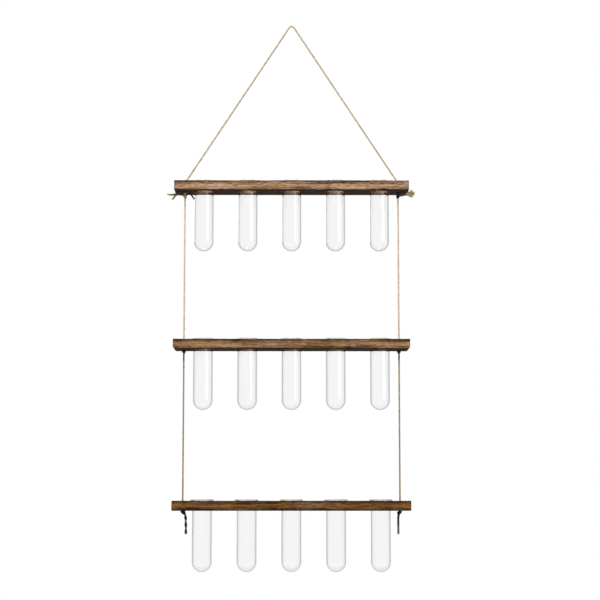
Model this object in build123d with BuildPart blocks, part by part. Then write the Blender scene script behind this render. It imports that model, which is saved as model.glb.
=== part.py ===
"""A hanging propagation vase: three wooden shelves on a jute cord, each holding a row of glass tubes.

Millimetres, +Z up, +X to the right seen from the front, +Y towards the wall. The origin is the centre of
the nail that the cord hangs on.
"""

import os
from math import asin, atan2, cos, hypot, pi, radians, sin, tan

from build123d import *

# Shelves
SHELF_LENGTH = 320.0
SHELF_THICKNESS = 13.5
WOOD_BESIDE_TUBE = 6.4  # wood left in front of and behind a tube hole
EDGE_ROUNDING = 0.9
HOLE_EASING = 0.4  # chamfer round the rims of the tube holes
WORN_CORNER = 3.5  # rounding of the middle shelf's lower corners
TIER_PITCH = 217.0  # from the top of one shelf to the top of the next
HANGER_RISE = 218.0  # from the top shelf's top to the nail

# Glass tubes
TUBES_PER_SHELF = 5
END_TO_TUBE = 40.0  # from a shelf's end to the axis of its outer tube
TUBE_DIAMETER = 26.5
TUBE_WALL = 1.5
TUBE_LENGTH = 97.0
TUBE_CLEARANCE = 0.35  # all round, between a tube and its hole
LIP_OVERHANG = 2.4
LIP_HEIGHT = 2.0
LIP_ROUNDING = 0.8

# Cord and knots
CORD_DIAMETER = 2.5
CORD_CLEARANCE = 1.25  # all round, between the cord and its hole
END_TO_CORD = 14.0  # from a shelf's end to the axis of its cord hole
NAIL_DIAMETER = 4.0
SWIVEL_GAP = 0.3  # between cord ends that turn against each other
KNOT_BEARING = 1.0  # how far a knot reaches past the rim of its hole
KNOT_HEIGHT = 6.5
TOP_KNOT_HEIGHT = 8.5  # two cords are tied together in each knot of the top shelf
KNOT_LEAN = 24.0  # degrees that the wrap of a knot leans
STRAND_DIAMETER = 1.2  # one ply of the cord, where an end has come apart
TUFT_DIAMETER = 5.0  # the frayed end of the top right tail
TUFT_LENGTH = 5.4

# Sizes that follow
TUBE_RADIUS = TUBE_DIAMETER / 2
BORE_RADIUS = TUBE_RADIUS - TUBE_WALL
LIP_RADIUS = TUBE_RADIUS + LIP_OVERHANG
TUBE_HOLE_RADIUS = TUBE_RADIUS + TUBE_CLEARANCE
TUBE_PITCH = (SHELF_LENGTH - 2 * END_TO_TUBE) / (TUBES_PER_SHELF - 1)
SHELF_DEPTH = 2 * (TUBE_HOLE_RADIUS + WOOD_BESIDE_TUBE)
CORD_RADIUS = CORD_DIAMETER / 2
CORD_HOLE_RADIUS = CORD_RADIUS + CORD_CLEARANCE
CORD_X = SHELF_LENGTH / 2 - END_TO_CORD
CORD_END_ROUNDING = 0.9 * CORD_RADIUS
KNOT_RADIUS = CORD_HOLE_RADIUS + KNOT_BEARING
SIDES = {"left": -1, "right": 1}
SHELF_TOPS = {
    "top": -HANGER_RISE,
    "middle": -HANGER_RISE - TIER_PITCH,
    "bottom": -HANGER_RISE - 2 * TIER_PITCH,
}
KNOT_HEIGHTS = {"top": TOP_KNOT_HEIGHT, "middle": KNOT_HEIGHT, "bottom": KNOT_HEIGHT}

# Routes of the loose cord ends: steps to the right, back and up from where each one starts in its knot
FRAYED_STRANDS = [
    [(0, 0, 0), (-8, -2.4, 1.2), (-16, -4.0, 1.4), (-24.4, -4.8, -0.2)],
    [(0, 0, 0), (-6, -3.2, -1.0), (-12, -5.0, -3.6), (-17.6, -5.6, -7.0)],
    [(0, 0, 0), (4.4, -3.0, -0.8), (8.8, -4.4, -3.4), (13.0, -4.8, -7.0)],
]
TOP_RIGHT_TAIL = [
    (0, 0, 0),
    (END_TO_CORD - 8, -0.8, 0.6),
    (END_TO_CORD - 2, -2.2, 1.4),
    (END_TO_CORD + 4, -2.6, 2.0),
]
BOTTOM_TAILS = {
    "left": [(0, 0, 0), (0, 0, -5), (3.0, -0.8, -11), (4.8, -1.0, -17.5), (4.4, -0.6, -24.6)],
    "right": [(0, 0, 0), (0, 0, -5), (-2.0, -0.6, -11), (-2.8, -0.4, -17.5), (-2.3, 0.2, -24.6)],
}


def underside(tier):
    """The height of a shelf's underside."""
    return SHELF_TOPS[tier] - SHELF_THICKNESS


def knot_foot(tier):
    """The height of the flat bottom of a shelf's knots."""
    return underside(tier) - KNOT_HEIGHTS[tier]


def placed(steps, start):
    """A route's points, carried to where it starts."""
    return [Vector(*start) + Vector(*step) for step in steps]


def bend_radii(points):
    """The largest even bend at each inner point of a route: it takes 0.45 of the shorter run beside it."""
    radii = []
    for before, here, after in zip(points, points[1:], points[2:]):
        shorter = min((here - before).length, (after - here).length)
        turn = radians((here - before).get_angle(after - here))
        radii.append(0.45 * shorter / tan(turn / 2))
    return radii


def print_cord(name, part, length, diameter, radii):
    """Prints a cord's length and bends, and its volume as a share of its section times its length."""
    share = part.volume / (pi * diameter**2 / 4 * length)
    print(f"{name}: length {length:.1f}, bend radii {[round(r, 1) for r in radii]}, volume share {share:.4f}")


def cord_tube(name, points, diameter):
    """A length of cord along straight runs, with an even bend at each inner point."""
    radii = bend_radii(points)
    with BuildPart() as tube:
        with BuildLine() as route:
            FilletPolyline(*points, radius=radii)
        with BuildSketch(Plane(origin=points[0], z_dir=points[1] - points[0])):
            Circle(diameter / 2)
        sweep()
    print_cord(name, tube.part, route.wire().length, diameter, radii)
    return tube.part


def save(part, name):
    """Labels a finished piece and writes it."""
    part.label = name
    export_step(part, f"parts/{name}.step")


os.makedirs("parts", exist_ok=True)

# Shelves: a board with rounded edges, a row of tube holes and a cord hole near each end
for tier, top in SHELF_TOPS.items():
    with BuildPart() as shelf:
        with BuildSketch(Plane.XZ) as front:
            with Locations((0, top)):
                Rectangle(SHELF_LENGTH, SHELF_THICKNESS, align=(Align.CENTER, Align.MAX))
            if tier == "middle":
                fillet(front.vertices().group_by(Axis.Y)[0], WORN_CORNER)
        extrude(amount=SHELF_DEPTH / 2, both=True)
        fillet(shelf.edges(), EDGE_ROUNDING)
        with BuildSketch(Plane.XY.offset(top)):
            with GridLocations(TUBE_PITCH, 0, TUBES_PER_SHELF, 1):
                Circle(TUBE_HOLE_RADIUS)
        extrude(amount=-SHELF_THICKNESS, mode=Mode.SUBTRACT)
        chamfer(shelf.edges(Select.LAST).filter_by(GeomType.CIRCLE), HOLE_EASING)
        with BuildSketch(Plane.XY.offset(top)):
            with GridLocations(2 * CORD_X, 0, 2, 1):
                Circle(CORD_HOLE_RADIUS)
        extrude(amount=-SHELF_THICKNESS, mode=Mode.SUBTRACT)
    save(shelf.part, f"{tier}_shelf")

# Tubes: test tubes with a round bottom, hung by a flared lip
tube_foot = LIP_HEIGHT - TUBE_LENGTH
round_centre = tube_foot + TUBE_RADIUS
lip_fillet = min(LIP_ROUNDING, 0.45 * LIP_HEIGHT, 0.45 * LIP_OVERHANG)
mouth_fillet = min(LIP_ROUNDING, 0.45 * TUBE_WALL)
for tier, top in SHELF_TOPS.items():
    for number in range(TUBES_PER_SHELF):
        axis_x = (number - (TUBES_PER_SHELF - 1) / 2) * TUBE_PITCH
        with BuildPart() as tube:
            with BuildSketch(Plane(origin=(axis_x, 0, top), x_dir=(1, 0, 0), z_dir=(0, -1, 0))) as half:
                with BuildLine():
                    CenterArc((0, round_centre), TUBE_RADIUS, -90, 90)
                    Polyline(
                        (TUBE_RADIUS, round_centre),
                        (TUBE_RADIUS, 0),
                        (LIP_RADIUS, 0),
                        (LIP_RADIUS, LIP_HEIGHT),
                        (BORE_RADIUS, LIP_HEIGHT),
                        (BORE_RADIUS, round_centre),
                    )
                    CenterArc((0, round_centre), BORE_RADIUS, -90, 90)
                    Line((0, round_centre - BORE_RADIUS), (0, tube_foot))
                make_face()
                fillet(half.vertices().group_by(Axis.X)[-1], lip_fillet)
                fillet(half.vertices().group_by(Axis.Y)[-1].sort_by(Axis.X)[0], mouth_fillet)
            revolve(axis=Axis((axis_x, 0, top), (0, 0, 1)))
        save(tube.part, f"{tier}_tube_{number + 1}")

# Hanging cord: two straight legs from the top shelf's cord holes, bent over the nail
nail_bend = NAIL_DIAMETER / 2 + CORD_RADIUS
leg_lean = atan2(CORD_X, HANGER_RISE) - asin(nail_bend / hypot(CORD_X, HANGER_RISE))
leg_end_x = CORD_X + CORD_RADIUS * sin(leg_lean)
leg_end_z = -HANGER_RISE - CORD_RADIUS * cos(leg_lean)
apex_z = nail_bend / sin(leg_lean)
with BuildPart() as hanger_cord:
    left_end, right_end = ((sign * leg_end_x, 0, leg_end_z) for sign in SIDES.values())
    with BuildLine() as legs:
        FilletPolyline(left_end, (0, 0, apex_z), right_end, radius=nail_bend)
    with BuildSketch(Plane(origin=legs.line @ 0, z_dir=legs.line % 0)):
        Circle(CORD_RADIUS)
    sweep()
    print_cord("hanger_cord", hanger_cord.part, legs.wire().length, CORD_DIAMETER, [nail_bend])
    fillet(hanger_cord.faces().filter_by(GeomType.PLANE).edges(), CORD_END_ROUNDING)
save(hanger_cord.part, "hanger_cord")

# Knots: a bead with one leaning wrap, and the cord that goes up from it through the shelf
for tier in SHELF_TOPS:
    half_height = KNOT_HEIGHTS[tier] / 2
    for side, sign in SIDES.items():
        middle = Vector(sign * CORD_X, 0, underside(tier) - half_height)
        with BuildPart() as knot:
            with BuildSketch(Plane(origin=middle, x_dir=(1, 0, 0), z_dir=(0, -1, 0))):
                shoulder = (KNOT_RADIUS - KNOT_BEARING / 2, half_height)
                foot = (CORD_RADIUS + KNOT_BEARING / 2, -half_height)
                with BuildLine():
                    Line((0, half_height), shoulder)
                    ThreePointArc(shoulder, (KNOT_RADIUS - KNOT_BEARING / 4, 0), foot)
                    Polyline(foot, (0, -half_height), (0, half_height))
                make_face()
            revolve(axis=Axis(middle, (0, 0, 1)))
            with Locations(Location(middle, (0, sign * KNOT_LEAN, 0))):
                Torus(KNOT_RADIUS - CORD_RADIUS, CORD_RADIUS)
            with BuildSketch(Plane.XY.offset(underside(tier))):
                with Locations((middle.X, 0)):
                    Circle(CORD_RADIUS)
            extrude(amount=SHELF_THICKNESS - CORD_RADIUS - SWIVEL_GAP)
            if (tier, side) == ("top", "left"):
                for steps in FRAYED_STRANDS:
                    add(cord_tube("frayed strand", placed(steps, middle), STRAND_DIAMETER))
            if (tier, side) == ("top", "right"):
                points = placed(TOP_RIGHT_TAIL, middle)
                add(cord_tube("top right tail", points, CORD_DIAMETER))
                tuft_start = Plane(origin=points[-1], z_dir=points[-1] - points[-2])
                with BuildSketch(tuft_start):
                    Circle(CORD_RADIUS)
                with BuildSketch(tuft_start.offset(TUFT_LENGTH)):
                    Circle(TUFT_DIAMETER / 2)
                loft()
        save(knot.part, f"{tier}_knot_{side}")

# Cords between the shelves: straight, with rounded ends that turn under one knot and in the hole below
for name, above, below in (("upper", "top", "middle"), ("lower", "middle", "bottom")):
    start = knot_foot(above) - SWIVEL_GAP
    end = SHELF_TOPS[below] - CORD_RADIUS
    for side, sign in SIDES.items():
        with BuildPart() as cord:
            with BuildSketch(Plane.XY.offset(start)):
                with Locations((sign * CORD_X, 0)):
                    Circle(CORD_RADIUS)
            extrude(amount=end - start)
            fillet(cord.edges().filter_by(GeomType.CIRCLE), CORD_END_ROUNDING)
        save(cord.part, f"{name}_cord_{side}")

# Tails: the loose ends that hang from the bottom shelf's knots
for side, sign in SIDES.items():
    points = placed(BOTTOM_TAILS[side], (sign * CORD_X, 0, knot_foot("bottom")))
    with BuildPart() as tail:
        add(cord_tube(f"bottom_tail_{side}", points, CORD_DIAMETER))
    save(tail.part, f"bottom_tail_{side}")
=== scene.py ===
"""The hanging propagation vase in its finishes: burnt wooden shelves, clear glass tubes, twisted jute cord.

Metres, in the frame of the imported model: +Z up, +X to the right seen from the front, origin at the nail.
"""

from math import cos, pi, radians, sin

import bmesh
import bpy
from mathutils import Matrix, Vector


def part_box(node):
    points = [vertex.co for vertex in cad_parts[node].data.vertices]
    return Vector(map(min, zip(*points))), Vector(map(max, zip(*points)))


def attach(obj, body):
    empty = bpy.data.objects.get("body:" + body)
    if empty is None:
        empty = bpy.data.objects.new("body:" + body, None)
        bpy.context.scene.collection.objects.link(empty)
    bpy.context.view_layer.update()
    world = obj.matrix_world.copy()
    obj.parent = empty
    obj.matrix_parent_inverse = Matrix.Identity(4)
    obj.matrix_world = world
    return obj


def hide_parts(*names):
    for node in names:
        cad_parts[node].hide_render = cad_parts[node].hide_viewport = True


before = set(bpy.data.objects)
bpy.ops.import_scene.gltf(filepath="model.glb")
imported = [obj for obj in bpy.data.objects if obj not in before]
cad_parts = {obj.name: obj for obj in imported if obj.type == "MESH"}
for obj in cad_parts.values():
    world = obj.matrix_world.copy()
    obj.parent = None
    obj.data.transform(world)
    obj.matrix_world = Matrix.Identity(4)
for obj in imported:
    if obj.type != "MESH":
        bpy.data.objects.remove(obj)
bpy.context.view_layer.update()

MM = 0.001
TIERS = ("top", "middle", "bottom")
SIDES = {"left": -1, "right": 1}
TUBES_PER_SHELF = 5
SLIVER = 0.01 * MM  # points closer than this become one
WHITE = (1.0, 1.0, 1.0, 1.0)

# Shelves
EDGE_ROUNDING = 0.9 * MM
WORN_CORNER = {"top": 1.2 * MM, "middle": 3.5 * MM, "bottom": 1.2 * MM}
TUBE_HOLE_RADIUS = 13.6 * MM
CORD_HOLE_RADIUS = 2.5 * MM
HOLE_EASING = 0.4 * MM
HOLE_SIDES = 72
DRILL_PAST_FACE = 2.0 * MM
DRILL_TURN = radians(1.7)  # keeps the holes' corners off the board's grid lines
BOARD_GRID = (181, 47, 23)
GRID_CROWDING = 0.8  # towards the edges, so that their rounding has enough grid lines
GRAIN_RELIEF = 0.16 * MM
GRAIN_SCALE = (36.0, 820.0, 820.0)
EDGE_WEAR = 0.55 * MM
EDGE_WEAR_WIDTH = 2.4 * MM
CHIP_SCALE = (60.0, 240.0, 240.0)
BOARD_CREASE = radians(40)

# Wood, in millimetres from the middle of a board
# Each board's tones (the darkest serves for char and for painted shade), the height of its palest stretch,
# the height below which painted shade darkens the front face, and its seed
BOARD_LOOKS = {
    "top": {
        "pale": (212, 172, 132), "brown": (142, 108, 78), "char_and_shade": (48, 35, 25),
        "palest_at": -2.2, "dark_below": -6.3, "seed": 2.0,
    },
    "middle": {
        "pale": (176, 134, 90), "brown": (118, 87, 57), "char_and_shade": (38, 27, 16),
        "palest_at": 0.3, "dark_below": -9.5, "seed": 31.0,
    },
    "bottom": {
        "pale": (146, 102, 52), "brown": (92, 61, 26), "char_and_shade": (32, 19, 5),
        "palest_at": 0.2, "dark_below": -6.0, "seed": 57.0,
    },
}
PITH_Y, PITH_Z = 9.0, -26.0
RING_PITCH = 2.9
BURNT_EDGE_WIDTH = 1.9
BURNT_RIM_WIDTH = 1.3
RIMLESS_END = 24  # no burnt rims this near a board's ends
WEATHERED = {"Hue": 0.494, "Saturation": 0.84}

# Glass tubes
TUBE_RADIUS = 13.25 * MM
TUBE_WALL = 1.5 * MM
LIP_HEIGHT = 2.0 * MM
LIP_ROUNDING = 0.85 * MM
MOUTH_FLARE = 1.5 * MM
GLASS_SIDES = 80
WALL_STEPS, BOTTOM_STEPS, LIP_STEPS, MOUTH_STEPS = 12, 20, 6, 8
GLASS_INDEX = 1.47
GLASS_TINT, TINT_DENSITY = (0.72, 0.71, 0.8, 1.0), 36.0
# Painted highlight on the lips: a pale diffuse colour, its share, and how far below the seat it reaches
LIP_HIGHLIGHT_COLOUR, LIP_HIGHLIGHT_SHARE = (0.83, 0.81, 0.76, 1.0), 0.36
LIP_HIGHLIGHT_MARGIN = 0.1 * MM
LAMP_LIGHT_THROUGH = (0.96, 0.96, 0.97, 1.0)

# Cord
CORD_DIAMETER = 2.5 * MM
LAID_DIAMETER = 2.3 * MM
TOP_TAIL_DIAMETER, BOTTOM_TAIL_DIAMETER = 3.3 * MM, 3.2 * MM
PLIES = 3
PLY_SIDES = 9
PLY_OVERLAP = 1.06
TURN_LENGTH = 8.5 * MM
RING_SPACING = 0.9 * MM
SWELL_SPACING = 5.0 * MM
LUMP_SPACING = 9.0 * MM
FUZZ_LENGTH = 2.0 * MM
FUZZ_PER_AREA = 110000.0
FUZZ_ROOT_RADIUS, FUZZ_TIP_RADIUS = 0.05 * MM, 0.012 * MM
FUZZ_BEND = 0.45
FUZZ_UPRIGHT = 0.75
FUZZ_SHORTEST = 0.35
CORD_CREASE = radians(60)
# How far the girth wanders, as a share of it, and how much of that is even lumps
UNEVENNESS, KNOT_UNEVENNESS, TOP_TAIL_UNEVENNESS = 0.08, 0.1, 0.15
LUMP_SHARE = 0.6
# First seed of each kind of cord piece
SEEDS = {"hanging": 11, "between": 21, "knots": 31, "strands": 40, "top_tail": 61, "tails": 71, "tufts": 80}

# Look of the jute
STREAKS_AROUND, STREAKS_ALONG = 1.7, 0.16
MOTTLE_SCALE = 190.0
JUTE_STOPS = (0.25, 0.5, 0.8)

# Frayed ends
FRAY_SPACING = 0.8 * MM
FRAY_SIDES = 4
FRAY_TAPER = 0.6
FRAY_OPENING = 1.6
CURL_SCALE, CURL_SHARE, CURL_STEP = 260.0, 1.2, 3.7
FRAY_CREASE = radians(100)

# Camera, light and floor
CAMERA_PLACE = (0.0, -2.2585, -0.6673)
CAMERA_PITCH, CAMERA_YAW = 6.528, -0.294
CAMERA_LENS = 100.26
CAMERA_SHIFT = 0.035
LIGHT_TARGET = (0.0, 0.0, -0.38)
# Each softbox's place, width and power
SOFTBOXES = {
    "key": ((-1.1, -1.7, 1.0), 1.3, 49.0),
    "fill": ((1.6, -1.5, 0.2), 1.4, 18.0),
    "top": ((0.2, 0.3, 1.6), 1.2, 28.0),
    "back": ((-0.5, 2.1, 0.7), 1.4, 18.0),
}
WORLD_LIGHT = 0.2
MIRRORED_SHARE = 0.35
FLOOR_HEIGHT, FLOOR_RADIUS, FLOOR_SIDES = -0.9, 1.6, 96
FLOOR_PAINT, FLOOR_FADE = (0.42, 0.42, 0.42, 1.0), 0.86
RAY_BOUNCES = 40


class Socket:
    """An output socket that takes part in arithmetic, through Math nodes or Vector Math nodes."""

    def __init__(self, graph, socket):
        self.graph = graph
        self.socket = socket

    def combine(self, operation, *terms):
        """A Math node on these terms, or a Vector Math node where a vector takes part."""
        sockets = [term.socket for term in terms if isinstance(term, Socket)]
        vector = any(s.type == "VECTOR" for s in sockets) or any(isinstance(term, tuple) for term in terms)
        kind = "ShaderNodeVectorMath" if vector else "ShaderNodeMath"
        return self.graph.node(kind, {"operation": operation}, dict(enumerate(terms)))

    def apply(self, operation, *others):
        """An operation on this value, with any others after it."""
        return self.combine(operation, self, *others)

    def __add__(self, other):
        return self.apply("ADD", other)

    def __sub__(self, other):
        return self.apply("SUBTRACT", other)

    def __mul__(self, other):
        return self.apply("MULTIPLY", other)

    def __truediv__(self, other):
        return self.apply("DIVIDE", other)

    def __pow__(self, other):
        return self.apply("POWER", other)

    __radd__ = __add__
    __rmul__ = __mul__

    def __rsub__(self, other):
        return self.combine("SUBTRACT", other, self)

    def __rtruediv__(self, other):
        return self.combine("DIVIDE", other, self)

    def __rpow__(self, other):
        return self.combine("POWER", other, self)

    def smooth(self, low, high):
        """0 at low, 1 at high, and a smooth step between them."""
        settings = {"interpolation_type": "SMOOTHSTEP"}
        return self.graph.node("ShaderNodeMapRange", settings, {"Value": self, 1: low, 2: high})

    def split(self):
        """The three parts of a vector."""
        node = self.graph.node("ShaderNodeSeparateXYZ", {}, {0: self}, out=None)
        return [Socket(self.graph, output) for output in node.outputs]


class Graph:
    """A node tree under construction."""

    def __init__(self, tree):
        self.tree = tree

    def node(self, kind, settings=None, inputs=None, out=0):
        """A node with its settings set first, then its sockets. Gives one output, or the node itself."""
        node = self.tree.nodes.new(kind)
        for name, value in (settings or {}).items():
            if name == "stops":
                self.set_stops(node.color_ramp.elements, value)
            else:
                setattr(node, name, value)
        for key, value in (inputs or {}).items():
            self.feed(node.inputs[key], value)
        return node if out is None else Socket(self, node.outputs[out])

    def feed(self, socket, value):
        """Links a socket to another, or sets its value."""
        if isinstance(value, Socket):
            self.tree.links.new(value.socket, socket)
        elif socket.type == "VECTOR" and isinstance(value, (int, float)):
            socket.default_value = (value,) * 3
        else:
            socket.default_value = value

    @staticmethod
    def set_stops(elements, stops):
        """Gives a colour ramp its stops: pairs of a place and a colour."""
        while len(elements) < len(stops):
            elements.new(1.0)
        for element, (place, colour) in zip(elements, stops):
            element.position = place
            element.color = colour

    def vector(self, **parts):
        """A vector of the parts that are given, and 0 for the others."""
        return self.node("ShaderNodeCombineXYZ", {}, parts)

    def noise(self, place, scale=1.0, detail=2.0, roughness=0.5, seed=0.0, out=0):
        """Cloudy noise from 0 to 1."""
        inputs = {"Vector": place, "W": seed, "Scale": scale, "Detail": detail, "Roughness": roughness}
        return self.node("ShaderNodeTexNoise", {"noise_dimensions": "4D"}, inputs, out)

    def ramp(self, value, *stops):
        """A colour along a ramp."""
        return self.node("ShaderNodeValToRGB", {"stops": stops}, {0: value})

    def mix(self, factor, first, second):
        """A colour between two."""
        return self.node("ShaderNodeMix", {"data_type": "RGBA"}, {0: factor, 6: first, 7: second}, out=2)

    def mix_shaders(self, factor, first, second):
        """A shader between two."""
        return self.node("ShaderNodeMixShader", {}, {0: factor, 1: first, 2: second})

    def attribute(self, name, out):
        """What a mesh keeps on its points under a name."""
        return self.node("ShaderNodeAttribute", {"attribute_name": name}, out=out)


def srgb(red, green, blue):
    """A colour written as it shows on a screen, 0 to 255."""
    shares = [c / 255 for c in (red, green, blue)]
    return tuple(c / 12.92 if c <= 0.04045 else ((c + 0.055) / 1.055) ** 2.4 for c in shares) + (1.0,)


def corners(node):
    """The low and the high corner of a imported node's box."""
    return [Vector(corner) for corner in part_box(node)]


def tube_pitch(tier):
    """The distance from one tube of a shelf to the next."""
    first, second = (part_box(f"{tier}_tube_{number}")[0][0] for number in (1, 2))
    return second - first


# Finishes


def new_finish(name):
    """An empty material and its graph."""
    finish = bpy.data.materials.new(name)
    finish.use_nodes = True
    finish.node_tree.nodes.clear()
    return finish, Graph(finish.node_tree)


def set_output(graph, **shaders):
    """Ends a material."""
    graph.node("ShaderNodeOutputMaterial", {}, shaders, out=None)


def wood_finish(tier, pale, brown, char_and_shade, palest_at, dark_below, seed):
    """Torched softwood: growth rings, fibres along the board, and edges, ends and hole rims burnt dark, with
    painted shade that makes the lower edges and rims darker than the upper ones and the underside nearly as
    dark as char.
    """
    finish, graph = new_finish(f"burnt_wood_{tier}")
    pale, brown, char_and_shade = (srgb(*tone) for tone in (pale, brown, char_and_shade))
    low, high = (corner / MM for corner in corners(f"{tier}_shelf"))
    half_x, half_y, half_z = (high - low) / 2
    place = graph.node("ShaderNodeTexCoord", out="Object")
    centring = {"Vector": place, "Location": tuple(-(low + high) / 2), "Scale": (1 / MM,) * 3}
    local = graph.node("ShaderNodeMapping", {}, centring)
    x, y, z = local.split()
    across_x, across_y, across_z = (part.apply("ABSOLUTE") for part in (x, y, z))

    def pattern(scales, step=0, **look):
        """Noise with these scales along, across and through the board, per millimetre."""
        return graph.noise(local * scales, seed=seed + step, **look)

    wander = pattern((0.008, 0.045, 0.045)) - 0.5
    ripple = pattern((0.03, 0.32, 0.32), 3, detail=3.0) - 0.5
    streaks = pattern((0.035, 0.4, 0.46), 5, detail=4.0, roughness=0.6) - 0.5
    fibre = pattern((0.045, 2.1, 2.1), 7, detail=5.0, roughness=0.62)
    flecks = pattern((0.15, 0.8, 0.9), 9, detail=3.0, roughness=0.6) - 0.5
    pores = pattern((0.11, 1.5, 1.5), 11).smooth(0.6, 0.72)
    patches = pattern((0.014, 0.1, 0.1), 17, detail=3.0) - 0.5
    ragged = pattern((0.09, 0.5, 0.5), 23, detail=3.0) - 0.5
    weather = pattern((0.016, 0.05, 0.05), 29).smooth(0.46, 0.66)
    from_pith = ((y - PITH_Y) ** 2 + (z - PITH_Z) ** 2) ** 0.5
    ring = ((from_pith + wander * 11 + ripple * 2.4) / RING_PITCH).apply("FRACT")
    late_wood = ring.smooth(0.45, 0.92) * (1 - ring.smooth(0.93, 1.0))

    # Lightness between the charred, the brown and the pale tone: palest at one height of the front face,
    # darker towards its top edge, and darker towards its lower edge with painted shade where the face turns
    # under
    on_face = z.smooth(half_z - 0.6, half_z - 0.1)
    # Painted shade towards the lower edge of the front face
    lift = (1 - z.smooth(palest_at + 0.7, half_z - 1.5)) * z.smooth(dark_below, palest_at - 1.0)
    lightness = lift.apply("MAXIMUM", on_face * 0.8) * 0.48 + 0.25 + streaks * 2.0 + flecks * 1.7
    lightness = lightness + (fibre - 0.5) * 0.7 + patches * 1.2 - late_wood * 0.2 - pores * 0.14
    wood = graph.ramp(lightness, (0.0, char_and_shade), (0.5, brown), (1.0, pale))
    weathered = graph.node("ShaderNodeHueSaturation", {}, {**WEATHERED, "Color": wood})
    wood = graph.mix(weather, wood, weathered)

    # Scorching of the long edges, the ends and the rims of the tube holes, with painted shade added: lower
    # edges and rims darker than upper ones, and the underside nearly as dark as char
    # Painted shade: the lower half of the board darkens its edges and hole rims more
    lower_side = 1 - z.smooth(-2.0, 2.0)
    to_edge = (half_y - across_y).apply("MAXIMUM", half_z - across_z)
    edges = (1 - (to_edge + ragged * 3.4).smooth(0.0, BURNT_EDGE_WIDTH)) * (lower_side * 0.35 + 0.5)
    ends = 1 - (half_x - across_x + ragged * 0.5).smooth(0.0, 0.7)
    # Painted shade under the board, on top of its scorch
    underneath = 1 - (z + half_z).smooth(0.02, 0.45)
    pitch = tube_pitch(tier) / MM
    from_tube = 0.5 - ((x / pitch).apply("FRACT") - 0.5).apply("ABSOLUTE")
    from_axis = ((from_tube * pitch) ** 2 + y**2) ** 0.5
    from_rim = (from_axis - TUBE_HOLE_RADIUS / MM + ragged * 1.2).apply("ABSOLUTE")
    beside_tubes = (half_x - RIMLESS_END - across_x).smooth(0, 2)
    rims = (1 - from_rim.smooth(0.1, BURNT_RIM_WIDTH)) * beside_tubes * (lower_side * 0.22 + 0.08)
    scorch_and_shade = edges
    for mask in (ends * 0.5, underneath * 0.9, rims):
        scorch_and_shade = scorch_and_shade.apply("MAXIMUM", mask)

    height = fibre * 0.6 + ring * 0.35 - pores * 0.5
    bump = {"Strength": 0.55, "Distance": 0.25 * MM, "Height": height}
    look = {
        "Base Color": graph.mix(scorch_and_shade, wood, char_and_shade),
        "Roughness": 0.62 + fibre * 0.22 + scorch_and_shade * 0.12,
        "Normal": graph.node("ShaderNodeBump", {}, bump),
        "Specular IOR Level": 0.1,
    }
    set_output(graph, Surface=graph.node("ShaderNodeBsdfPrincipled", {}, look))
    return finish


def jute_finish(name, tones, far_tones=None, change=None):
    """Jute fibre, streaked along each ply and mottled. Its tones may change over a stretch of its length."""
    finish, graph = new_finish(name)
    along = graph.attribute("along", "Fac") / MM
    around = graph.attribute("around", "Vector")
    way = around * STREAKS_AROUND + graph.vector(Z=along * STREAKS_ALONG)
    streak = graph.noise(way, detail=4.0, roughness=0.7)
    mottle = graph.noise(graph.node("ShaderNodeTexCoord", out="Object"), MOTTLE_SCALE, seed=4.0)
    shade = streak * 0.75 + mottle * 0.45 - 0.1
    colour = graph.ramp(shade, *zip(JUTE_STOPS, tones))
    if far_tones:
        far_colour = graph.ramp(shade, *zip(JUTE_STOPS, far_tones))
        colour = graph.mix(along.smooth(*change), colour, far_colour)
    bump = {"Strength": 0.6, "Distance": 0.12 * MM, "Height": streak}
    look = {
        "Base Color": colour,
        "Roughness": 0.78 + streak * 0.2,
        "Normal": graph.node("ShaderNodeBump", {}, bump),
        "Specular IOR Level": 0.2,
        "Sheen Weight": 0.25,
    }
    set_output(graph, Surface=graph.node("ShaderNodeBsdfPrincipled", {}, look))
    return finish


def glass_finish():
    """Clear drawn glass, faintly grey through its thickness, with a painted highlight on the lip: a pale
    diffuse share. It lets lamp light through.
    """
    finish, graph = new_finish("clear_glass")
    clear = {"Base Color": WHITE, "Roughness": 0.0, "IOR": GLASS_INDEX, "Transmission Weight": 1.0}
    glass = graph.node("ShaderNodeBsdfPrincipled", {}, clear)
    # Painted highlight: a pale diffuse surface mixed in on the lip
    ground = graph.node("ShaderNodeBsdfDiffuse", {}, {"Color": LIP_HIGHLIGHT_COLOUR})
    glass = graph.mix_shaders(graph.attribute("ground", "Fac") * LIP_HIGHLIGHT_SHARE, glass, ground)
    open_way = graph.node("ShaderNodeBsdfTransparent", {}, {0: LAMP_LIGHT_THROUGH})
    from_lamp = graph.node("ShaderNodeLightPath", out="Is Shadow Ray")
    tint = graph.node("ShaderNodeVolumeAbsorption", {}, {"Color": GLASS_TINT, "Density": TINT_DENSITY})
    set_output(graph, Surface=graph.mix_shaders(from_lamp, glass, open_way), Volume=tint)
    return finish


def background_share(graph):
    """1 for rays that see the background directly or straight through glass, less for what glass mirrors."""
    path = graph.node("ShaderNodeLightPath", out=None)
    names = ("Is Camera Ray", "Is Glossy Ray", "Is Transmission Ray", "Glossy Depth")
    camera, gloss, through, reflections = (Socket(graph, path.outputs[name]) for name in names)
    through = through / (1 + reflections)
    return camera.apply("MAXIMUM", through).apply("MAXIMUM", gloss * MIRRORED_SHARE)


def floor_finish():
    """A pale floor that fades into the white background and keeps a soft shadow."""
    finish, graph = new_finish("pale_floor")
    paint = graph.node("ShaderNodeBsdfDiffuse", {}, {"Color": FLOOR_PAINT})
    glow = graph.node("ShaderNodeEmission", {}, {"Color": WHITE, "Strength": 1.0})
    set_output(graph, Surface=graph.mix_shaders(background_share(graph) * FLOOR_FADE, paint, glow))
    return finish


# Geometry Nodes


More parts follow.
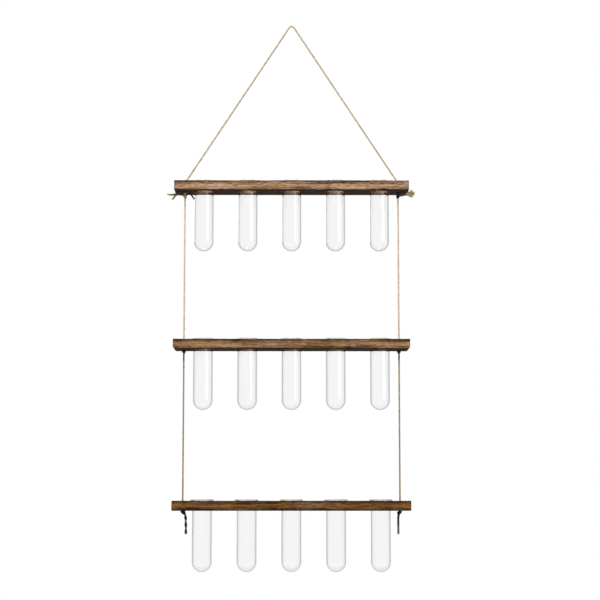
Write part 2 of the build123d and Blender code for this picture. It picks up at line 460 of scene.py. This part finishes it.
def add_object(name, data):
    """An object at the origin."""
    item = bpy.data.objects.new(name, data)
    bpy.context.scene.collection.objects.link(item)
    return item


def plain_mesh(source):
    """The mesh that an object comes to with its modifiers. The object itself goes."""
    mesh = bpy.data.meshes.new_from_object(source.evaluated_get(bpy.context.evaluated_depsgraph_get()))
    bpy.data.objects.remove(source)
    return mesh


class Recipe(Graph):
    """A Geometry Nodes tree with named inputs, which makes plain meshes."""

    KINDS = {
        "number": "NodeSocketFloat",
        "length": "NodeSocketFloat",
        "count": "NodeSocketInt",
        "vector": "NodeSocketVector",
        "finish": "NodeSocketMaterial",
    }

    def __init__(self, name, **inputs):
        super().__init__(bpy.data.node_groups.new(name, "GeometryNodeTree"))
        self.tree.interface.new_socket("Geometry", in_out="INPUT", socket_type="NodeSocketGeometry")
        self.tree.interface.new_socket("Geometry", in_out="OUTPUT", socket_type="NodeSocketGeometry")
        self.keys = {}
        for label, kind in inputs.items():
            socket = self.tree.interface.new_socket(label, in_out="INPUT", socket_type=self.KINDS[kind])
            self.keys[label] = socket.identifier
        self.start = self.tree.nodes.new("NodeGroupInput")

    def input(self, label):
        """A named input of the tree."""
        return Socket(self, self.start.outputs[label])

    def position(self):
        """Where each point is."""
        return self.node("GeometryNodeInputPosition")

    def random_vector(self, seed, **identity):
        """A random vector for each element, each part from -1 to 1."""
        parts = []
        for step in range(3):
            inputs = {2: -1.0, 3: 1.0, "Seed": seed + step, **identity}
            parts.append(self.node("FunctionNodeRandomValue", {"data_type": "FLOAT"}, inputs, out=1))
        return self.node("ShaderNodeCombineXYZ", {}, dict(enumerate(parts)))

    def place(self, geometry, **inputs):
        """Moves the points of a geometry to a position or by an offset."""
        return self.node("GeometryNodeSetPosition", {}, {"Geometry": geometry, **inputs})

    def keep(self, geometry, name, value, data_type="FLOAT"):
        """Keeps a value on the points of a geometry under a name."""
        settings = {"data_type": data_type, "domain": "POINT"}
        inputs = {"Geometry": geometry, "Name": name, "Value": value}
        return self.node("GeometryNodeStoreNamedAttribute", settings, inputs)

    def join(self, *geometries):
        """Several geometries as one."""
        node = self.node("GeometryNodeJoinGeometry", out=None)
        for geometry in geometries:
            self.tree.links.new(geometry.socket, node.inputs[0])
        return Socket(self, node.outputs[0])

    def resampled_path(self, spacing):
        """The starting mesh as a path with evenly spaced points."""
        path = self.node("GeometryNodeMeshToCurve", {}, {0: self.input("Geometry")})
        return self.node("GeometryNodeResampleCurve", {"mode": "LENGTH"}, {"Curve": path, "Length": spacing})

    def sweep(self, path, radius, sides, scale):
        """A closed rod along a path, whose points keep the way round it."""
        ring = self.node("GeometryNodeCurvePrimitiveCircle", {}, {"Resolution": sides, "Radius": radius})
        ring = self.keep(ring, "around", self.position().apply("NORMALIZE"), "FLOAT_VECTOR")
        inputs = {"Curve": path, "Profile Curve": ring, "Scale": scale, "Fill Caps": True}
        return self.node("GeometryNodeCurveToMesh", {}, inputs)

    def shade_smooth(self, mesh, crease):
        """Shades a mesh smooth, apart from edges that turn more than an angle."""
        turn = self.node("GeometryNodeInputMeshEdgeAngle")
        smooth = {"Geometry": mesh, "Shade Smooth": True}
        mesh = self.node("GeometryNodeSetShadeSmooth", {"domain": "FACE"}, smooth)
        sharp = {"Geometry": mesh, "Selection": turn.apply("GREATER_THAN", crease), "Shade Smooth": False}
        return self.node("GeometryNodeSetShadeSmooth", {"domain": "EDGE"}, sharp)

    def end(self, geometry):
        """Ends the tree in plain geometry with its finish."""
        plain = self.node("GeometryNodeRealizeInstances", {}, {0: geometry})
        inputs = {"Geometry": plain, "Material": self.input("finish")}
        self.node("NodeGroupOutput", {}, {0: self.node("GeometryNodeSetMaterial", {}, inputs)}, out=None)
        return self

    def make(self, name, mesh=None, **values):
        """A plain mesh object that the tree makes from a starting mesh and its inputs' values."""
        source = add_object(name + "_source", mesh or bpy.data.meshes.new(name + "_start"))
        modifier = source.modifiers.new("recipe", "NODES")
        modifier.node_group = self.tree
        for label, value in values.items():
            modifier[self.keys[label]] = value
        made = plain_mesh(source)
        made.name = name
        return add_object(name, made)


def drill(recipe, radius, thickness, easing):
    """What a drill takes out of a board: a cylinder that widens at both faces."""
    size = {"Vertices": HOLE_SIDES, "Side Segments": 3, "Radius": 1.0, "Depth": 3.0}
    stock = recipe.node("GeometryNodeMeshCylinder", {}, size)
    x, y, z = recipe.position().split()
    outer = z.apply("ABSOLUTE").smooth(0.9, 1.1)
    height = thickness * 0.5 - easing + outer * (easing + DRILL_PAST_FACE)
    width = radius + outer * (easing + DRILL_PAST_FACE)
    return recipe.place(stock, Position=recipe.vector(X=x * width, Y=y * width, Z=z.apply("SIGN") * height))


def row_of_points(recipe, count, first, pitch):
    """A row of points along a board."""
    inputs = {"Count": count, "Start Location": recipe.vector(X=first), "Offset": recipe.vector(X=pitch)}
    return recipe.node("GeometryNodeMeshLine", {}, inputs)


def board_recipe():
    """A board with rounded, worn edges, relief along the grain, a row of tube holes and two cord holes."""
    recipe = Recipe(
        "rustic board",
        size="vector",
        middle="vector",
        rounding="length",
        lower_corner="length",
        relief="length",
        wear="length",
        tube_hole="length",
        tube_count="count",
        tube_pitch="length",
        cord_hole="length",
        cord_reach="length",
        easing="length",
        seed="number",
        finish="finish",
    )
    size = recipe.input("size")
    half = size * 0.5
    position = recipe.position
    grid = dict(zip(("Vertices X", "Vertices Y", "Vertices Z"), BOARD_GRID))
    board = recipe.node("GeometryNodeMeshCube", {}, {"Size": size, **grid})
    share = position() / half
    crowded = share * (1 - GRID_CROWDING) + (share * (pi / 2)).apply("SINE") * GRID_CROWDING
    board = recipe.place(board, Position=crowded * half)

    def rounded(radius, axes):
        """Where a point goes when the edges across these axes are rounded."""
        beyond = (position().apply("ABSOLUTE") - (half - radius)).apply("MAXIMUM", 0.0) * axes
        reach = recipe.node("ShaderNodeVectorMath", {"operation": "LENGTH"}, {0: beyond}, out="Value")
        keep = (radius / reach.apply("MAXIMUM", 1e-6)).apply("MINIMUM", 1.0)
        return position() - position().apply("SIGN") * beyond * (1 - keep)

    board = recipe.place(board, Position=rounded(recipe.input("rounding"), (1.0, 1.0, 1.0)))
    lower = position().split()[2].apply("LESS_THAN", 0.0)
    cornered = rounded(recipe.input("lower_corner"), (1.0, 0.0, 1.0))
    board = recipe.place(board, Selection=lower, Position=cornered)

    seed = recipe.input("seed")
    inward = recipe.node("GeometryNodeInputNormal") * -1.0
    grain = recipe.noise(position() * GRAIN_SCALE, detail=3.0, roughness=0.6, seed=seed)
    board = recipe.place(board, Offset=inward * (grain * recipe.input("relief")))
    from_x, from_y, from_z = (half - position().apply("ABSOLUTE")).split()
    to_long_edge = from_y.apply("MAXIMUM", from_z)
    to_end_edge = from_x.apply("MAXIMUM", from_y.apply("MINIMUM", from_z))
    near_edge = 1 - to_long_edge.apply("MINIMUM", to_end_edge).smooth(0.0, EDGE_WEAR_WIDTH)
    chips = recipe.noise(position() * CHIP_SCALE, detail=4.0, roughness=0.65, seed=seed + 5.0)
    bite = near_edge * chips.smooth(0.5, 0.78)
    board = recipe.place(board, Offset=inward * (bite * recipe.input("wear")))

    count, pitch, reach = (recipe.input(label) for label in ("tube_count", "tube_pitch", "cord_reach"))
    tubes = row_of_points(recipe, count, (count - 1) * pitch * -0.5, pitch)
    cords = row_of_points(recipe, 2, reach * -1.0, reach * 2.0)
    cuts = []
    for points, radius in ((tubes, "tube_hole"), (cords, "cord_hole")):
        bit = drill(recipe, recipe.input(radius), size.split()[2], recipe.input("easing"))
        turned = {"Points": points, "Instance": bit, "Rotation": (0.0, 0.0, DRILL_TURN)}
        holes = recipe.node("GeometryNodeInstanceOnPoints", {}, turned)
        cuts.append(recipe.node("GeometryNodeRealizeInstances", {}, {0: holes}))
    settings = {"operation": "DIFFERENCE", "solver": "EXACT"}
    board = recipe.node("GeometryNodeMeshBoolean", settings, {"Mesh 1": board, "Mesh 2": recipe.join(*cuts)})
    board = recipe.node("GeometryNodeMergeByDistance", {}, {"Geometry": board, "Distance": SLIVER})
    board = recipe.shade_smooth(board, BOARD_CREASE)
    return recipe.end(recipe.place(board, Offset=recipe.input("middle")))


def twisted_cord_recipe():
    """Three plies laid round a path, with loose fibres that stand off them."""
    recipe = Recipe(
        "twisted cord",
        diameter="length",
        turn="length",
        ring_spacing="length",
        fuzz_length="length",
        fuzz_density="number",
        unevenness="number",
        seed="count",
        finish="finish",
    )
    seed = recipe.input("seed")
    path = recipe.resampled_path(recipe.input("ring_spacing"))
    length = recipe.node("GeometryNodeSplineParameter", out="Length")
    aside = recipe.node("GeometryNodeInputNormal")
    across = recipe.node("GeometryNodeInputTangent").apply("CROSS_PRODUCT", aside)
    swell = recipe.noise(recipe.vector(X=length / SWELL_SPACING), seed=seed) * 2 - 1
    lumps = (length / LUMP_SPACING * (2 * pi) + seed).apply("SINE") * LUMP_SHARE
    girth = 1 + (swell + lumps) * recipe.input("unevenness")
    path = recipe.keep(recipe.keep(path, "along", length), "girth", girth)
    kept = recipe.node("GeometryNodeInputNamedAttribute", {"data_type": "FLOAT"}, {"Name": "girth"})
    ply_radius = recipe.input("diameter") * 0.25
    plies = []
    for ply in range(PLIES):
        angle = length / recipe.input("turn") * (2 * pi) + ply * 2 * pi / PLIES
        offset = (aside * angle.apply("COSINE") + across * angle.apply("SINE")) * (ply_radius * girth)
        ply_path = recipe.place(path, Offset=offset)
        plies.append(recipe.sweep(ply_path, ply_radius * PLY_OVERLAP, PLY_SIDES, kept))
    cord = recipe.shade_smooth(recipe.join(*plies), CORD_CREASE)

    spots = {"Mesh": cord, "Density": recipe.input("fuzz_density"), "Seed": seed}
    roots = recipe.node("GeometryNodeDistributePointsOnFaces", {}, spots, out=None)
    cone = {"Vertices": 3, "Side Segments": 4, "Depth": 1.0}
    cone.update({"Radius Top": FUZZ_TIP_RADIUS, "Radius Bottom": FUZZ_ROOT_RADIUS})
    up = recipe.position().split()[2]
    reach = recipe.input("fuzz_length")
    bent = recipe.vector(X=up * up * FUZZ_BEND * reach, Z=up * reach - up)
    way = Socket(recipe, roots.outputs["Normal"]) * FUZZ_UPRIGHT + recipe.random_vector(seed + 1)
    shares = {2: FUZZ_SHORTEST, 3: 1.0, "Seed": seed + 9}
    fuzz = {
        "Points": Socket(recipe, roots.outputs["Points"]),
        "Instance": recipe.place(recipe.node("GeometryNodeMeshCone", {}, cone), Offset=bent),
        "Rotation": recipe.node("FunctionNodeAlignRotationToVector", {"axis": "Z"}, {"Vector": way}),
        "Scale": recipe.node("FunctionNodeRandomValue", {"data_type": "FLOAT"}, shares, out=1),
    }
    return recipe.end(recipe.join(cord, recipe.node("GeometryNodeInstanceOnPoints", {}, fuzz)))


def frayed_recipe():
    """A cord end come apart: fibres that leave a path, further apart towards their tips."""
    recipe = Recipe(
        "frayed end",
        fibres="count",
        fibre_radius="length",
        spread_at_root="length",
        spread_at_tip="length",
        seed="count",
        finish="finish",
    )
    path = recipe.resampled_path(FRAY_SPACING)
    inputs = {"Geometry": path, "Amount": recipe.input("fibres")}
    copies = recipe.node("GeometryNodeDuplicateElements", {"domain": "SPLINE"}, inputs, out=None)
    number = Socket(recipe, copies.outputs["Duplicate Index"])
    along = recipe.node("GeometryNodeSplineParameter", out="Factor")
    length = recipe.node("GeometryNodeSplineParameter", out="Length")
    way = recipe.random_vector(recipe.input("seed"), ID=number)
    root, tip = recipe.input("spread_at_root"), recipe.input("spread_at_tip")
    spread = root + (tip - root) * along**FRAY_OPENING
    curl = recipe.noise(recipe.position(), CURL_SCALE, seed=number * CURL_STEP, out="Color") - (0.5, 0.5, 0.5)
    offset = way * spread + curl * (spread * CURL_SHARE)
    fibres = recipe.place(Socket(recipe, copies.outputs["Geometry"]), Offset=offset)
    fibres = recipe.keep(fibres, "along", length)
    taper = recipe.input("fibre_radius") * (1 - along * FRAY_TAPER)
    mesh = recipe.sweep(fibres, 1.0, FRAY_SIDES, taper)
    return recipe.end(recipe.shade_smooth(mesh, FRAY_CREASE))


# Routes of the cords, in millimetres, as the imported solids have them

UNDERSIDES = {tier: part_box(f"{tier}_shelf")[0][2] / MM for tier in TIERS}
CORD_X = 146.0
APEX_Z = 5.95
LEG_END = (146.68, 0.0, -219.05)
NEAR_NAIL = 15.0
NEAR_SHELF = 15.0
SWIVEL_GAP = 0.3
KNOT_HEIGHTS = {"top": 8.5, "middle": 6.5, "bottom": 6.5}
# Rise of the coil, its radius at the bottom and at the top, how far the bottom lies towards the middle
KNOT_COILS = {"top": (5.8, 1.5, 1.9, 0.0), "middle": (2.5, 1.4, 2.0, 0.0), "bottom": (2.6, 1.3, 3.0, 2.0)}
COIL_PITCH = 1.85
COIL_STEPS = 36
FRAYED_STRANDS = [
    [(0, 0, 0), (-6, -2.4, 1.2), (-12, -3.8, 2.0), (-19, -4.6, -0.6), (-24, -5, 1.2)],
    [(0, 0, 0), (-6, -3.0, 0.6), (-12, -4.4, 0.6), (-14.4, -5, -2.6), (-17.2, -5.4, -6.2)],
    [(0, 0, 0), (4, -3.4, 1.2), (7.8, -5.6, 1.4), (10.6, -7.2, -2.4), (13.2, -8.2, -6.4)],
]
# Brown, and near-black for the lowest strand: painted shade under the top shelf
STRAND_FINISHES = ("brown_jute", "brown_jute", "shadow_dark_jute")
STRAND_SIZES = {
    "fibres": 24,
    "fibre_radius": 0.3 * MM,
    "spread_at_root": 0.9 * MM,
    "spread_at_tip": 0.95 * MM,
}
TOP_RIGHT_TAIL = [(0, 0, 0), (5, -0.8, 0.4), (9.5, -2.0, 1.2), (14, -2.6, 2.0)]
TOP_RIGHT_TUFTS = [
    [(12, -2.4, 1.6), (16.2, -2.8, 2.8), (18.2, -3.0, 5.6)],
    [(12, -2.4, 1.6), (16.5, -2.8, 2.2), (21.6, -3.4, 2.6)],
    [(12, -2.4, 1.6), (15.8, -2.8, 1.4), (19.2, -3.2, -0.8)],
]
TUFT_SIZES = {
    "fibres": 90,
    "fibre_radius": 0.25 * MM,
    "spread_at_root": 1.5 * MM,
    "spread_at_tip": 2.2 * MM,
}
BOTTOM_TAILS = {
    "left": [
        (1, 0, 6.2), (2.8, -0.4, 3.6), (4.2, -0.7, -1.5),
        (4.4, -0.8, -9), (4.6, -0.9, -16.5), (4.6, -0.6, -24.2),
    ],
    "right": [
        (0, 0, 6.2), (-1.6, -0.3, 3), (-2.5, -0.5, -1.5),
        (-2.5, -0.5, -9), (-2.5, -0.4, -16.5), (-2.4, 0.1, -24.4),
    ],
}
# The bottom tails' tones are painted shade under the bottom shelf: near-black all along on the left,
# near-black turning grey on the right
BOTTOM_TAIL_LOOKS = {"left": ("shadow_dark_jute", 0.42), "right": ("shadow_dark_grey_jute", 0.05)}

# Tones of the jute, from its shaded fibres to its lit ones
JUTE_TONES = {
    "raw": (srgb(158, 140, 110), srgb(212, 194, 163), srgb(242, 228, 203)),
    "smoky": (srgb(140, 119, 90), srgb(192, 170, 139), srgb(224, 206, 179)),
    "dull": (srgb(114, 87, 57), srgb(170, 140, 103), srgb(206, 180, 144)),
    "brown": (srgb(58, 43, 27), srgb(108, 84, 55), srgb(168, 138, 98)),
    "pale": (srgb(186, 162, 120), srgb(228, 206, 162), srgb(248, 232, 196)),
    # The near-black tone below is painted shade: the cord in the shadow under the shelves
    "shadow_dark": (srgb(18, 13, 8), srgb(46, 36, 26), srgb(100, 83, 62)),
    "grey": (srgb(66, 57, 48), srgb(116, 103, 92), srgb(150, 136, 122)),
}
# Each finish's tones, and where they change along the cord: the tones after that, and over which millimetres
JUTE_LOOKS = {
    "raw_jute": ("raw", None, None),
    "smoky_jute": ("smoky", None, None),
    "pale_jute": ("pale", None, None),
    # Brown near the top knots, painted shade under the top shelf, turning raw from 17 to 28 mm along
    "brown_jute": ("brown", "raw", (17, 28)),
    # Painted shade under the shelves: near-black on the knots and the left bottom tail, on the lower cords
    # just under the middle shelf fading over 3 to 13 mm, on the right bottom tail turning grey from 11 to 27
    # mm
    "shadow_dark_jute": ("shadow_dark", None, None),
    "shadow_dark_top_jute": ("shadow_dark", "dull", (3, 13)),
    "shadow_dark_grey_jute": ("shadow_dark", "grey", (11, 27)),
}
jute = {
    name: jute_finish(name, JUTE_TONES[tone], JUTE_TONES.get(far_tone), change)
    for name, (tone, far_tone, change) in JUTE_LOOKS.items()
}
twisted_cord = twisted_cord_recipe()
frayed_end = frayed_recipe()


def placed(steps, start):
    """A route's points, carried to where it starts."""
    return [Vector(start) + Vector(step) for step in steps]


def route_line(name, points):
    """A smooth line with these control points, in millimetres, as a mesh of joined points, in metres."""
    curve = bpy.data.curves.new(name, "CURVE")
    curve.dimensions = "3D"
    curve.resolution_u = 16
    spline = curve.splines.new("NURBS")
    spline.points.add(len(points) - 1)
    for point, place in zip(spline.points, points):
        point.co = (*(Vector(place) * MM), 1.0)
    spline.order_u = 3
    spline.use_endpoint_u = True
    return plain_mesh(add_object(name, curve))


def twisted(name, line, seed, finish, diameter=LAID_DIAMETER, unevenness=UNEVENNESS):
    """A length of jute cord along a line."""
    return twisted_cord.make(
        name,
        line,
        diameter=diameter,
        turn=TURN_LENGTH * diameter / CORD_DIAMETER,
        ring_spacing=RING_SPACING,
        fuzz_length=FUZZ_LENGTH,
        fuzz_density=FUZZ_PER_AREA,
        unevenness=unevenness,
        seed=seed,
        finish=jute[finish],
    )


def fit_out(piece, body, slot, *nodes):
    """Puts a finished piece on its body in place of the solids that it stands for."""
    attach(piece, body)
    if nodes:
        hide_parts(*nodes)
    return piece


def hang_cords():
    """The cord over the nail and the four cords between the shelves."""
    apex = Vector((0.0, 0.0, APEX_Z))
    legs = [Vector((sign * LEG_END[0], LEG_END[1], LEG_END[2])) for sign in SIDES.values()]
    near_nail = [apex + (leg - apex).normalized() * NEAR_NAIL for leg in legs]
    line = route_line("hanging_route", [legs[0], near_nail[0], apex, near_nail[1], legs[1]])
    cord = twisted("hanging_cord", line, SEEDS["hanging"], "smoky_jute")
    fit_out(cord, "hanger", "jute", "hanger_cord")
    # The lower cords carry a painted shadow of the middle shelf at their top
    for row, (name, finish) in enumerate((("upper", "raw_jute"), ("lower", "shadow_dark_top_jute"))):
        for side, sign in SIDES.items():
            node = f"{name}_cord_{side}"
            low, high = (corner / MM for corner in corners(node))
            heights = (high.z + SWIVEL_GAP, high.z - NEAR_SHELF, low.z + NEAR_SHELF, low.z)
            line = route_line(node + "_route", [(sign * CORD_X, 0.0, height) for height in heights])
            cord = twisted(f"{name}_{side}_cord", line, SEEDS["between"] + 2 * row + sign, finish)
            fit_out(cord, f"{name}_cords", "jute", node)


def knot_route(side, tier):
    """A stopper knot: the cord comes down its hole and winds up round itself in a cone under the board."""
    half = KNOT_HEIGHTS[tier] / 2
    rise, narrow, wide, skew = KNOT_COILS[tier]
    inward = -SIDES[side]
    coil = []
    for step in range(COIL_STEPS + 1):
        share = step / COIL_STEPS
        width = narrow + (wide - narrow) * share
        angle = 2 * pi * (rise / COIL_PITCH) * share
        x = width * cos(angle) + skew * (1 - share)
        coil.append((inward * x, width * sin(angle), half - 1.1 - (1 - share) * rise))
    down = [(0, 0, half + 11.0), (0, 0, half + 4.0), (0, 0, 0.5), (inward * 0.7, -0.3, half - 1.7 - rise)]
    back = [(inward * 0.4, 0.4, half - 1.6), (0, 0, 0.5)]
    if tier != "bottom":
        back.append((0, 0, -half))
    return placed([*down, *coil, *back], (SIDES[side] * CORD_X, 0.0, UNDERSIDES[tier] - half))


def tie_knots():
    """The six knots under the shelves."""
    for row, tier in enumerate(TIERS):
        for side, sign in SIDES.items():
            line = route_line("knot_route", knot_route(side, tier))
            # The knots under the shelves are near-black, painted shade; the top-left knot is brown, painted
            # shade too
            finish = "brown_jute" if (tier, side) == ("top", "left") else "shadow_dark_jute"
            seed = SEEDS["knots"] + 2 * row + sign
            knot = twisted(f"{tier}_{side}_knot", line, seed, finish, unevenness=KNOT_UNEVENNESS)
            fit_out(knot, f"{tier}_shelf", "jute_dark", f"{tier}_knot_{side}")


def fray(name, route, start, finish, slot, **sizes):
    """A frayed end along a route from the middle of a knot of the top shelf."""
    line = route_line("frayed_route", placed(route, start))
    fit_out(frayed_end.make(name, line, finish=jute[finish], **sizes), "top_shelf", slot)


def fray_top_ends():
    """The loose ends of the top knots: three strands on the left, and a tail with a tuft on the right."""
    knot_middle = UNDERSIDES["top"] - KNOT_HEIGHTS["top"] / 2
    left, right = ((sign * CORD_X, 0.0, knot_middle) for sign in SIDES.values())
    for number, (route, finish) in enumerate(zip(FRAYED_STRANDS, STRAND_FINISHES), 1):
        name, seed = f"frayed_strand_{number}", SEEDS["strands"] + 10 * number
        fray(name, route, left, finish, "jute_dark", seed=seed, **STRAND_SIZES)
    line = route_line("tail_route", placed(TOP_RIGHT_TAIL, right))
    # The tail is brown: painted shade under the top shelf
    look = {"finish": "brown_jute", "diameter": TOP_TAIL_DIAMETER, "unevenness": TOP_TAIL_UNEVENNESS}
    fit_out(twisted("top_right_tail", line, SEEDS["top_tail"], **look), "top_shelf", "jute_dark")
    for number, route in enumerate(TOP_RIGHT_TUFTS, 1):
        name, seed = f"top_right_tuft_{number}", SEEDS["tufts"] + 10 * number
        fray(name, route, right, "pale_jute", "jute", seed=seed, **TUFT_SIZES)


def hang_bottom_tails():
    """The loose ends that hang from the bottom knots."""
    for side, (finish, unevenness) in BOTTOM_TAIL_LOOKS.items():
        sign = SIDES[side]
        foot = (sign * CORD_X, 0.0, UNDERSIDES["bottom"] - KNOT_HEIGHTS["bottom"])
        line = route_line("tail_route", placed(BOTTOM_TAILS[side], foot))
        look = {"finish": finish, "diameter": BOTTOM_TAIL_DIAMETER, "unevenness": unevenness}
        tail = twisted(f"bottom_{side}_tail", line, SEEDS["tails"] + sign, **look)
        fit_out(tail, "bottom_shelf", "jute_dark", f"bottom_tail_{side}")


# Shelves and tubes


def make_shelves():
    """The three boards, each in its own tone."""
    recipe = board_recipe()
    for tier, look in BOARD_LOOKS.items():
        low, high = corners(f"{tier}_shelf")
        board = recipe.make(
            f"{tier}_board",
            size=tuple(high - low),
            middle=tuple((low + high) / 2),
            rounding=EDGE_ROUNDING,
            lower_corner=WORN_CORNER[tier],
            relief=GRAIN_RELIEF,
            wear=EDGE_WEAR,
            tube_hole=TUBE_HOLE_RADIUS,
            tube_count=TUBES_PER_SHELF,
            tube_pitch=tube_pitch(tier),
            cord_hole=CORD_HOLE_RADIUS,
            cord_reach=CORD_X * MM,
            easing=HOLE_EASING,
            seed=look["seed"],
            finish=wood_finish(tier, **look),
        )
        fit_out(board, f"{tier}_shelf", f"wood_{tier}", f"{tier}_shelf")


def arc(centre, radius, start, end, steps):
    """Points on an arc, angles in degrees."""
    angles = [radians(start + (end - start) * step / steps) for step in range(steps + 1)]
    return [(centre[0] + radius * cos(a), centre[1] + radius * sin(a)) for a in angles]


def tube_outline(foot, seat, lip_radius):
    """Half of a tube's section, as radius and height, from the outer pole over the lip to the inner pole."""
    bore = TUBE_RADIUS - TUBE_WALL
    round_centre = foot + TUBE_RADIUS
    rim = seat + LIP_HEIGHT
    throat = rim - MOUTH_FLARE
    lip_x = lip_radius - LIP_ROUNDING
    outline = arc((0.0, round_centre), TUBE_RADIUS, -90, 0, BOTTOM_STEPS)
    for step in range(1, WALL_STEPS + 1):
        outline.append((TUBE_RADIUS, round_centre + (seat - round_centre) * step / WALL_STEPS))
    outline += arc((lip_x, seat + LIP_ROUNDING), LIP_ROUNDING, -90, 0, LIP_STEPS)
    outline += arc((lip_x, rim - LIP_ROUNDING), LIP_ROUNDING, 0, 90, LIP_STEPS)
    outline += arc((bore + MOUTH_FLARE, throat), MOUTH_FLARE, 90, 180, MOUTH_STEPS)
    for step in range(1, WALL_STEPS):
        outline.append((bore, throat + (round_centre - throat) * step / WALL_STEPS))
    return outline + arc((0.0, round_centre), bore, 0, -90, BOTTOM_STEPS)


def turned_mesh(name, outline, axis):
    """A mesh turned from half of its section."""
    shape = bmesh.new()
    points = [shape.verts.new((axis.x + radius, axis.y, height)) for radius, height in outline]
    for first, second in zip(points, points[1:]):
        shape.edges.new((first, second))
    section = [*shape.verts, *shape.edges]
    bmesh.ops.spin(shape, geom=section, cent=axis, axis=(0, 0, 1), angle=2 * pi, steps=GLASS_SIDES)
    bmesh.ops.remove_doubles(shape, verts=shape.verts, dist=SLIVER)
    bmesh.ops.recalc_face_normals(shape, faces=shape.faces)
    mesh = bpy.data.meshes.new(name)
    shape.to_mesh(mesh)
    shape.free()
    return mesh


def make_tubes():
    """The fifteen glass tubes, turned about their axes, with a painted highlight on their lips."""
    glass = glass_finish()
    for tier in TIERS:
        for number in range(1, TUBES_PER_SHELF + 1):
            node, name = f"{tier}_tube_{number}", f"{tier}_glass_{number}"
            low, high = corners(node)
            seat = high.z - LIP_HEIGHT
            outline = tube_outline(low.z, seat, (high.x - low.x) / 2)
            mesh = turned_mesh(name, outline, (low + high) / 2)
            mesh.materials.append(glass)
            mesh.shade_smooth()
            # Marks the lip for the painted highlight
            ground = mesh.attributes.new("ground", "FLOAT", "POINT")
            for vertex, share in zip(mesh.vertices, ground.data):
                share.value = float(vertex.co.z > seat - LIP_HIGHLIGHT_MARGIN)
            fit_out(add_object(name, mesh), node, "glass", node)


# Camera, light and floor


def set_camera():
    """A long view from below the middle of the object, level with the lower tubes."""
    data = bpy.data.cameras.new("camera")
    data.lens = CAMERA_LENS
    data.shift_y = CAMERA_SHIFT
    camera = add_object("camera", data)
    camera.location = CAMERA_PLACE
    camera.rotation_euler = (radians(90 + CAMERA_PITCH), 0.0, radians(CAMERA_YAW))
    bpy.context.scene.camera = camera


def add_softbox(name, place, size, power):
    """A large square lamp that points at the object, unseen by the camera and through glass."""
    data = bpy.data.lights.new(name, "AREA")
    data.shape = "SQUARE"
    data.size = size
    data.energy = power
    lamp = add_object(name, data)
    lamp.location = place
    lamp.rotation_euler = (Vector(LIGHT_TARGET) - Vector(place)).to_track_quat("-Z", "Y").to_euler()
    lamp.visible_camera = False
    lamp.visible_transmission = False


def set_light():
    """Soft light from above, in front and behind, and a white background."""
    world = bpy.data.worlds.new("studio")
    bpy.context.scene.world = world
    world.use_nodes = True
    world.node_tree.nodes.clear()
    graph = Graph(world.node_tree)
    strength = WORLD_LIGHT + background_share(graph) * (1 - WORLD_LIGHT)
    white = graph.node("ShaderNodeBackground", {}, {"Color": WHITE, "Strength": strength})
    graph.node("ShaderNodeOutputWorld", {}, {"Surface": white}, out=None)
    for name, (place, size, power) in SOFTBOXES.items():
        add_softbox(name, place, size, power)


def lay_floor():
    """A round pale floor below the object."""
    floor = bpy.data.meshes.new("floor")
    shape = bmesh.new()
    place = Matrix.Translation((0, 0, FLOOR_HEIGHT))
    bmesh.ops.create_circle(shape, cap_ends=True, segments=FLOOR_SIDES, radius=FLOOR_RADIUS, matrix=place)
    shape.to_mesh(floor)
    shape.free()
    floor.materials.append(floor_finish())
    add_object("floor", floor)


scene = bpy.context.scene
scene.view_settings.view_transform = "Standard"
scene.cycles.max_bounces = RAY_BOUNCES
scene.cycles.transmission_bounces = RAY_BOUNCES
scene.cycles.glossy_bounces = RAY_BOUNCES
set_camera()
hang_cords()
tie_knots()
fray_top_ends()
hang_bottom_tails()
make_shelves()
make_tubes()
set_light()
lay_floor()
